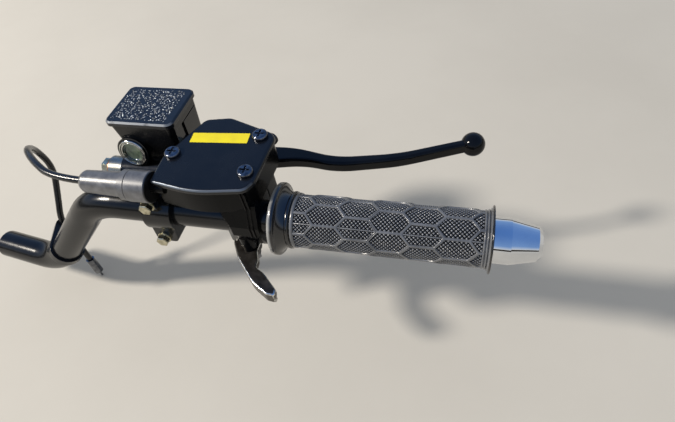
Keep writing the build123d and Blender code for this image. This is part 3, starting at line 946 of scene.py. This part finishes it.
class SubAssembly:
    """A group of pieces that ride on one body."""

    body: ClassVar[str] = "bar"

    def finish(
        self,
        piece: Piece,
        finish: Finish,
        slot: Slot | None = None,
        replaces: Sequence[str] = (),
        smooth: float = 35,
    ) -> None:
        """Dresses a finished piece, puts it on its body and hides the model's nodes that it stands
        for.

        Args:
            piece: the finished object.
            finish: its surface finish.
            slot: not used.
            replaces: the model's nodes that it stands for.
            smooth: the sharpest fold, in degrees, that is shaded smooth.
        """
        piece.data.materials.clear()
        piece.data.materials.append(MATERIALS[finish.name])
        faces = 0
        if piece.type == "MESH":
            pick(piece)
            bpy.ops.object.shade_smooth_by_angle(angle=math.radians(smooth))
            faces = len(piece.data.polygons)
        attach(piece, self.body)
        if replaces:
            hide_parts(*replaces)
        LOG.info("%s: %d faces on %s", piece.name, faces, self.body)


@dataclass
class Grip(SubAssembly):
    """The rubber grip: turned ends, a honeycomb of ribs, and diamond pips between them."""

    floor: float = 15.3
    rib_top: float = 17.1
    rib_width: float = 1.45
    rib_sunk: float = 0.6
    rib_round: float = 0.55
    rib_gap: float = 0.02
    pattern_start: float = 14.0
    pattern_end: float = 124.8
    cell_tip: float = 12.25
    cell_corner: float = 6.85
    cells_round: int = 8
    even_columns: tuple[float, ...] = (14.4, 52.6, 90.9, 129.1)
    even_turn: float = 43.1
    odd_columns: tuple[float, ...] = (33.5, 71.8, 110.0)
    odd_turn: float = 20.6
    pips_along: int = 92
    pips_round: int = 84
    pip_shoulder: tuple[float, float] = (0.35, 1.1)
    pip_crown: float = 0.17
    pip_sunk: float = 0.02
    pip_gap: float = 0.01
    parting_turns: tuple[float, ...] = (43.1, 223.1)
    parting_width: float = 0.55
    parting_height: float = 1.42
    parting_sunk: float = 0.3
    slant_cuts: int = 3
    outline: Outline = (
        (0.0, 11.15), (0.0, 22.1), (0.6, 22.9), (2.2, 23.0), (3.4, 22.9), (3.9, 22.3), (3.9, 21.4),
        (4.8, 20.2), (6.4, 18.7), (8.2, 17.5), (9.1, 17.2), (9.5, 17.9), (10.5, 18.1),
        (11.4, 17.9), (11.7, 16.6), (12.2, 16.6), (12.6, 17.3), (13.5, 17.4), (14.3, 17.2),
        (14.6, 15.3), (124.1, 15.3), (124.3, 16.8), (124.8, 17.3), (125.3, 17.1), (125.6, 16.5),
        (125.9, 16.6), (126.2, 17.4), (126.6, 17.6), (127.0, 17.3), (127.2, 16.8), (127.4, 17.0),
        (127.6, 17.9), (127.9, 18.2), (128.3, 18.3), (128.7, 19.8), (129.1, 20.1), (129.4, 20.0),
        (129.5, 19.6), (129.5, 11.15),
    )

    def round_length(self) -> float:
        """Gives the length round the grip's floor."""
        return math.tau * self.floor

    def wrap(self, piece: Piece) -> None:
        """Wraps a flat sheet round the grip: x stays, y goes round and z goes out.

        Args:
            piece: the flat sheet's object.
        """
        for vert in piece.data.vertices:
            x, y, z = vert.co
            turned = y / self.floor
            out = self.floor + z
            vert.co = (x, -out * math.cos(turned), out * math.sin(turned))

    def core(self) -> Piece:
        """Turns the flange, the rings, the floor and the flared end."""
        return turn("grip_core", self.outline, steps=128)

    def cell(self) -> Piece:
        """Models one flat cell of the honeycomb, as a six-sided ring.

        Returns:
            The cell.
        """
        half = math.pi * self.floor / self.cells_round
        made = start(
            bpy.ops.mesh.primitive_circle_add, "cell", vertices=6, radius=1, fill_type="NGON"
        )
        corners = (
            (self.cell_tip, 0), (self.cell_corner, half), (-self.cell_corner, half),
            (-self.cell_tip, 0), (-self.cell_corner, -half), (self.cell_corner, -half),
        )
        with editing(made) as mesh:
            mesh.verts.ensure_lookup_table()
            for vert, (x, y) in zip(mesh.verts, corners):
                vert.co = (x, y, 0)
            select(
                mesh, MeshPart.EDGE, lambda e: abs(e.verts[0].co.y - e.verts[1].co.y) > half / 2
            )
            bpy.ops.mesh.subdivide(number_cuts=self.slant_cuts)
            select(mesh, MeshPart.FACE, lambda f: True)
            bpy.ops.mesh.inset(thickness=self.rib_width / 2)
            bpy.ops.mesh.delete(type="FACE")
        return made

    def ribs(self) -> Piece:
        """Copies the cell over a flat sheet, gives it its height and wraps it round.

        Returns:
            The ribs.
        """
        cell = self.cell()
        copies = []
        for columns, turned in (
            (self.even_columns, self.even_turn), (self.odd_columns, self.odd_turn),
        ):
            for x in columns:
                for step in range(self.cells_round):
                    y = math.radians(turned + 360 / self.cells_round * step) * self.floor
                    spot = (x, y % self.round_length(), self.rib_top - self.floor)
                    copy = duplicate(cell)
                    copy.data.transform(Matrix.Translation(spot))
                    copies.append(copy)
        bpy.data.objects.remove(cell)
        sheet = join(copies, "grip_ribs")
        down = (0, 0, self.floor - self.rib_top - self.rib_sunk)
        with editing(sheet):
            weld(self.rib_gap)
            for x, outer in ((self.pattern_start, False), (self.pattern_end, True)):
                bpy.ops.mesh.select_all(action="SELECT")
                bpy.ops.mesh.bisect(
                    plane_co=(x, 0, 0), plane_no=(1, 0, 0), clear_inner=not outer,
                    clear_outer=outer,
                )
            bpy.ops.mesh.select_all(action="SELECT")
            bpy.ops.mesh.extrude_region_move(TRANSFORM_OT_translate={"value": down})
            face_outwards()
        self.wrap(sheet)
        with editing(sheet):
            weld(self.rib_gap)
            face_outwards()
        modify(
            sheet, "BEVEL", width=self.rib_round, segments=3, limit_method="ANGLE",
            angle_limit=math.radians(50),
        )
        return sheet

    def pips(self) -> Piece:
        """Turns a fine grid of squares into diamonds, raises each one's middle and wraps it.

        Returns:
            The pips.
        """
        sheet = start(
            bpy.ops.mesh.primitive_grid_add, "grip_pips", x_subdivisions=self.pips_along,
            y_subdivisions=self.pips_round, size=1,
        )
        long, around = self.pattern_end - self.pattern_start, self.round_length()
        middle = (self.pattern_start + long / 2, around / 4, -self.pip_sunk)
        inward, upward = self.pip_shoulder
        with editing(sheet) as mesh:
            bpy.ops.mesh.select_all(action="SELECT")
            bpy.ops.transform.resize(value=(long, around, 1))
            bpy.ops.transform.translate(value=middle)
            bpy.ops.mesh.unsubdivide(iterations=1)
            select(mesh, MeshPart.FACE, lambda f: len(f.verts) > 3)
            bpy.ops.mesh.inset(thickness=inward, depth=upward, use_individual=True)
            bpy.ops.mesh.poke(offset=self.pip_crown)
        self.wrap(sheet)
        with editing(sheet):
            weld(self.pip_gap)
        return sheet

    def parting_lines(self) -> Piece:
        """Raises the fine ridges that the mould's two halves leave along the grip.

        Returns:
            The ridges.
        """
        long = self.pattern_end - self.pattern_start
        size = (long, self.parting_width, self.parting_height + self.parting_sunk)
        ridges = []
        for turned in self.parting_turns:
            ridge = start(bpy.ops.mesh.primitive_cube_add, "parting", size=1)
            middle = (
                self.pattern_start + long / 2, math.radians(turned) * self.floor,
                (self.parting_height - self.parting_sunk) / 2,
            )
            with editing(ridge) as mesh:
                bpy.ops.mesh.select_all(action="SELECT")
                bpy.ops.transform.resize(value=size)
                bpy.ops.transform.translate(value=middle)
                select(mesh, MeshPart.EDGE, lambda e: min(v.co.z for v in e.verts) > 0)
                bpy.ops.mesh.bevel(offset=self.parting_width / 4, segments=2)
            self.wrap(ridge)
            ridges.append(ridge)
        return join(ridges, "grip_parting_lines")

    def build(self) -> None:
        """Builds the grip and puts it in the model's place."""
        whole = join(
            [self.core(), self.ribs(), self.pips(), self.parting_lines()], "grip_moulding"
        )
        put(whole, HAND_FRAME)
        self.finish(
            whole, FINISHES[Slot.GRIP_RUBBER], Slot.GRIP_RUBBER, replaces=("grip",), smooth=75
        )


@dataclass
class Lid(SubAssembly):
    """The stripe on the throttle housing's lid."""

    top: float = 36.1
    film: float = 0.12
    corners: Outline = ((-59.5, 34.3), (-59.2, 25.9), (-21.2, 28.2), (-21.6, 36.9))
    corner_round: float = 0.5

    def build(self) -> None:
        """Cuts the stripe from film and lays it on the lid."""
        stripe = start(bpy.ops.mesh.primitive_plane_add, "lid_stripe", size=1)
        with editing(stripe) as mesh:
            mesh.faces.ensure_lookup_table()
            for vert, (x, y) in zip(mesh.faces[0].verts, self.corners):
                vert.co = (x, y, self.top)
            bpy.ops.mesh.select_all(action="SELECT")
            bpy.ops.mesh.bevel(offset=self.corner_round, segments=3, affect="VERTICES")
            bpy.ops.mesh.select_all(action="SELECT")
            bpy.ops.mesh.extrude_region_move(TRANSFORM_OT_translate={"value": (0, 0, self.film)})
            face_outwards()
        put(stripe, LID_FRAME)
        self.finish(stripe, STRIPE_FILM)


@dataclass
class Tank(SubAssembly):
    """The grain on the tank's lid, and its sight glass.

    The grain is coarser than a real moulded one, which would be too fine to show.
    """

    top: float = 45.0
    left: float = -122.3
    right: float = -72.9
    near: float = 29.2
    far: float = 69.9
    margin: float = 4.6
    grain_pitch: float = 1.95
    grain_height: float = 0.42
    grain_long: Span = (0.35, 1.15)
    grain_wide: Span = (0.22, 0.55)
    # In radians
    grain_tilt: float = 0.3
    grain_stray: Span = (0.4, 0.35)
    grain_missing: float = 0.16
    seed: int = 7
    glass_at: Point = (-108.5, 27.0, 21.5)
    glass_tilt: float = 8
    bezel: Outline = (
        (0.0, 7.35), (0.0, 9.7), (0.9, 9.7), (1.2, 9.4), (1.2, 8.9), (0.5, 8.6), (0.5, 8.1),
        (1.0, 7.9), (1.0, 7.35),
    )
    lens: Outline = (
        (-1.9, 0), (-1.9, 7.2), (0.1, 7.2), (0.3, 7.0), (0.3, 6.2), (-0.3, 5.6), (-0.1, 3.4),
        (0.0, 0),
    )
    fluid: Outline = ((-2.45, 0), (-2.45, 7.2), (-2.0, 7.2), (-2.0, 0))

    def glass_frame(self) -> Matrix:
        """Works the sight glass's frame out from its place and its wall's tilt.

        Returns:
            The frame, whose x axis comes out of the tank's wall.
        """
        lean = math.radians(self.glass_tilt)
        out = Vector((0, -math.cos(lean), math.sin(lean)))
        side = Vector((1, 0, 0))
        axes = Matrix((out, side, out.cross(side))).transposed()
        return HAND_FRAME @ Matrix.Translation(self.glass_at) @ axes.to_4x4()

    def grain(self) -> None:
        """Scatters low pebbles over the lid's top."""
        pebble = start(
            bpy.ops.mesh.primitive_uv_sphere_add, "pebble", segments=8, ring_count=6, radius=1
        )
        with editing(pebble):
            bpy.ops.mesh.select_all(action="SELECT")
            bpy.ops.mesh.bisect(
                plane_co=(0, 0, 0), plane_no=(0, 0, 1), clear_inner=True, use_fill=True
            )
        draw = random.Random(self.seed)
        copies = []
        columns = int((self.right - self.left - 2 * self.margin) / self.grain_pitch)
        rows = int((self.far - self.near - 2 * self.margin) / self.grain_pitch)
        for row in range(rows + 1):
            for column in range(columns + 1):
                if draw.random() < self.grain_missing:
                    continue
                stray_x, stray_y = (draw.uniform(-most, most) for most in self.grain_stray)
                x = self.left + self.margin + (column + stray_x) * self.grain_pitch
                y = self.near + self.margin + (row + stray_y) * self.grain_pitch
                long, wide = draw.uniform(*self.grain_long), draw.uniform(*self.grain_wide)
                size = Matrix.Diagonal((long, wide, self.grain_height, 1))
                spot = (
                    Matrix.Translation((x, y, self.top))
                    @ Matrix.Rotation(draw.uniform(0, math.pi), 4, "Z")
                    @ Matrix.Rotation(draw.uniform(-self.grain_tilt, self.grain_tilt), 4, "Y")
                )
                copy = duplicate(pebble)
                copy.data.transform(spot @ size)
                copies.append(copy)
        bpy.data.objects.remove(pebble)
        whole = join(copies, "tank_lid_grain")
        put(whole, HAND_FRAME)
        self.finish(whole, GRAIN_GLINTS, smooth=20)

    def build(self) -> None:
        """Builds the grain, the bezel, the lens and the fluid behind it."""
        self.grain()
        for name, outline, slot, nodes in (
            ("sight_glass_bezel", self.bezel, Slot.RING_METAL, ("sight_glass_ring",)),
            ("sight_glass_lens", self.lens, Slot.SIGHT_WINDOW, ("sight_glass",)),
            ("sight_glass_fluid", self.fluid, None, ()),
        ):
            made = turn(name, outline, steps=64)
            put(made, self.glass_frame())
            self.finish(made, FINISHES[slot] if slot else FLUID, slot, nodes)


@dataclass
class ThumbLever(SubAssembly):
    """The thumb throttle's lever, with its edges rounded and rubbed bare."""

    body: ClassVar[str] = "thumb_lever"
    node: str = "thumb_lever"
    merged: float = 0.002
    voxel: float = 0.35
    evenings: int = 8

    def build(self, frame: dict) -> None:
        """Copies the model's lever, meshes it finely and evens it, which rounds its edges.
        """
        source = frame["nodes"][self.node]
        made = duplicate(source)
        made.name = made.data.name = "thumb_lever_blade"
        made.parent = None
        made.matrix_world = source.matrix_world
        with editing(made):
            weld(self.merged * MM)
        modify(made, "REMESH", mode="VOXEL", voxel_size=self.voxel * MM)
        before = [vert.co.copy() for vert in made.data.vertices]
        modify(made, "SMOOTH", factor=0.5, iterations=self.evenings)
        worn = made.data.attributes.new(WORN, "FLOAT", "POINT")
        for vert, old, spot in zip(made.data.vertices, before, worn.data):
            spot.value = max(0.0, (old - vert.co).dot(vert.normal)) / MM
        self.finish(
            made, FINISHES[Slot.THUMB_METAL], Slot.THUMB_METAL, replaces=(self.node,), smooth=180
        )


@dataclass
class Cable(SubAssembly):
    """The throttle cable, which the boot, the tie and its ferrule hold all the way."""

    radius: float = 2.4
    route: tuple[Point, ...] = (
        (-113.55, -9.4, 28.8), (-144.6, -9.4, 28.8), (-166, 2, 31), (-186, 18, 26.5),
        (-198, 33, 12), (-197, 36.5, -10), (-199, 26, -32), (-201, 15.8, -52),
        (-199, 15.2, -76), (-197, 14.2, -98),
    )

    def build(self) -> None:
        """Lays the cable as a smooth line through its route."""
        line = bpy.data.curves.new("throttle_cable_sheath", "CURVE")
        line.dimensions = "3D"
        line.bevel_depth = self.radius * MM
        line.bevel_resolution = 6
        line.resolution_u = 24
        line.use_fill_caps = True
        spline = line.splines.new("NURBS")
        spline.points.add(len(self.route) - 1)
        for point, (x, y, z) in zip(spline.points, self.route):
            point.co = (*(HAND_FRAME @ Vector((x, y, z))), 1.0)
        spline.order_u = 3
        spline.use_endpoint_u = True
        made = bpy.data.objects.new(line.name, line)
        bpy.context.collection.objects.link(made)
        self.finish(
            made, FINISHES[Slot.CABLE_SHEATH], Slot.CABLE_SHEATH, replaces=("throttle_cable",)
        )


@dataclass
class Viewpoint:
    """The camera, where the photograph was taken from."""

    place: Point = (108.155, -199.162, 240.783)
    pitch: float = 47.326
    yaw: float = 19.04
    roll: float = 8.804
    focal_pixels: float = 521.433
    image_width: int = 675
    sensor: float = 36.0
    nearest: float = 10.0

    def build(self) -> None:
        """Sets the camera up."""
        pitch, yaw, roll = (math.radians(a) for a in (self.pitch, self.yaw, self.roll))
        ahead = Vector(
            (-math.sin(yaw) * math.cos(pitch), math.cos(yaw) * math.cos(pitch), -math.sin(pitch))
        )
        level = Vector((math.cos(yaw), math.sin(yaw), 0))
        under = ahead.cross(level)
        right = math.cos(roll) * level + math.sin(roll) * under
        down = -math.sin(roll) * level + math.cos(roll) * under
        axes = Matrix((right, -down, -ahead)).transposed().to_4x4()
        data = bpy.data.cameras.new("viewpoint")
        data.sensor_width = self.sensor
        data.lens = self.focal_pixels / self.image_width * self.sensor
        data.clip_start = self.nearest * MM
        made = bpy.data.objects.new("viewpoint", data)
        bpy.context.collection.objects.link(made)
        made.matrix_world = Matrix.Translation((HAND + Vector(self.place)) * MM) @ axes
        bpy.context.scene.camera = made


@dataclass(frozen=True)
class Lamp:
    """A round lamp, with its spot, aim and size in metres and its power in watts."""

    name: str
    spot: Point
    aim: Point
    size: float
    power: float
    colour: str

    def hang(self) -> None:
        """Adds the lamp and turns it towards what it shines on."""
        data = bpy.data.lights.new(self.name, "AREA")
        data.shape = "DISK"
        data.size = self.size
        data.energy = self.power
        data.color = linear(self.colour)[:3]
        made = bpy.data.objects.new(self.name, data)
        bpy.context.collection.objects.link(made)
        made.location = self.spot
        ahead = Vector(self.aim) - Vector(self.spot)
        made.rotation_euler = ahead.to_track_quat("-Z", "Y").to_euler()


@dataclass
class Studio:
    """The floor, the lamps and the sky.

    The floor's size is in metres. The sky is colours by height: 0 is level and 1 straight up.
    """

    floor_size: float = 7.0
    sky_light: str = "#aaaeb4"
    sky: tuple[tuple[float, str], ...] = (
        (-0.15, PAPER), (-0.01, PAPER), (0.0, "#1f1c1a"), (0.12, "#37302b"), (0.14, "#e2e2dd"),
        (0.2, "#c6d3e6"), (0.4, "#7ea3d8"), (1.0, "#5580c4"),
    )
    lamps: tuple[Lamp, ...] = (
        Lamp("key_lamp", (-1.95, -0.9, 1.94), (0.25, 0.0, 0.1), 0.36, 94.0, "#fff6e8"),
    )

    def build(self, lowest: float) -> None:
        """Lays the floor, hangs the lamps and makes the sky.

        Args:
            lowest: the height of the object's lowest point, in metres.
        """
        floor = start(bpy.ops.mesh.primitive_plane_add, "studio_floor", size=self.floor_size)
        with editing(floor):
            bpy.ops.mesh.select_all(action="SELECT")
            bpy.ops.mesh.subdivide(number_cuts=3)
            bpy.ops.transform.translate(value=(0, 0, lowest))
        floor.data.materials.append(FLOOR_PAPER.build())
        floor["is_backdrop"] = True
        for lamp in self.lamps:
            lamp.hang()
        self.hang_sky()

    def hang_sky(self) -> None:
        """Makes the world: even light, a sky for what shines, and a plain backdrop to look at."""
        world = bpy.data.worlds.new("studio_sky")
        world.use_nodes = True
        tree = world.node_tree
        tree.nodes.clear()
        ahead = add_node(tree, "TexCoord").outputs["Generated"]
        height = add_node(tree, "SeparateXYZ", {"Vector": ahead}).outputs["Z"]
        low = self.sky[0][0]
        climb = add_node(
            tree, "MapRange", {"Value": height, "From Min": low, "From Max": 1.0}
        ).outputs["Result"]
        ramp = add_node(tree, "ValToRGB", {"Fac": climb})
        stops = ramp.color_ramp.elements
        while len(stops) < len(self.sky):
            stops.new(1.0)
        for stop, (up, colour) in zip(stops, self.sky):
            stop.position = (up - low) / (1 - low)
            stop.color = linear(colour)
        rays = add_node(tree, "LightPath").outputs
        seen = linear(self.sky_light)
        for ray, colour in (
            ("Is Glossy Ray", ramp.outputs["Color"]), ("Is Camera Ray", linear(PAPER)),
        ):
            feeds = {0: rays[ray], 6: seen, 7: colour}
            seen = add_node(tree, "Mix", feeds, data_type="RGBA").outputs[2]
        sky = add_node(tree, "Background", {"Color": seen, "Strength": 1.0})
        add_node(tree, "OutputWorld", {"Surface": sky.outputs["Background"]})
        bpy.context.scene.world = world


def dress_nodes(frame: dict) -> None:
    """Gives each of the model's own nodes the finish of its slot.
    """
    for row in frame["record"]["subparts"]:
        node = frame["nodes"][row["node"]]
        finish = FINISHES[Slot(row["material_slot"])]
        node.data.materials.clear()
        node.data.materials.append(MATERIALS[finish.name])
        LOG.info("%s: %s", row["node"], finish.name)


def main() -> None:
    """Builds the scene in order: finishes, camera, cable, the other pieces, floor and lamps."""
    logging.basicConfig(level=logging.INFO, format="%(message)s")
    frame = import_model()
    bpy.context.scene.view_settings.view_transform = "Standard"
    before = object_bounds()
    for finish in (*FINISHES.values(), GRAIN_GLINTS, STRIPE_FILM, FLUID):
        MATERIALS[finish.name] = finish.build()
    Viewpoint().build()
    dress_nodes(frame)
    for assembly in (Cable(), Grip(), Lid(), Tank()):
        assembly.build()
    ThumbLever().build(frame)
    Studio().build(before[0][2])


if __name__ == "__main__":
    main()
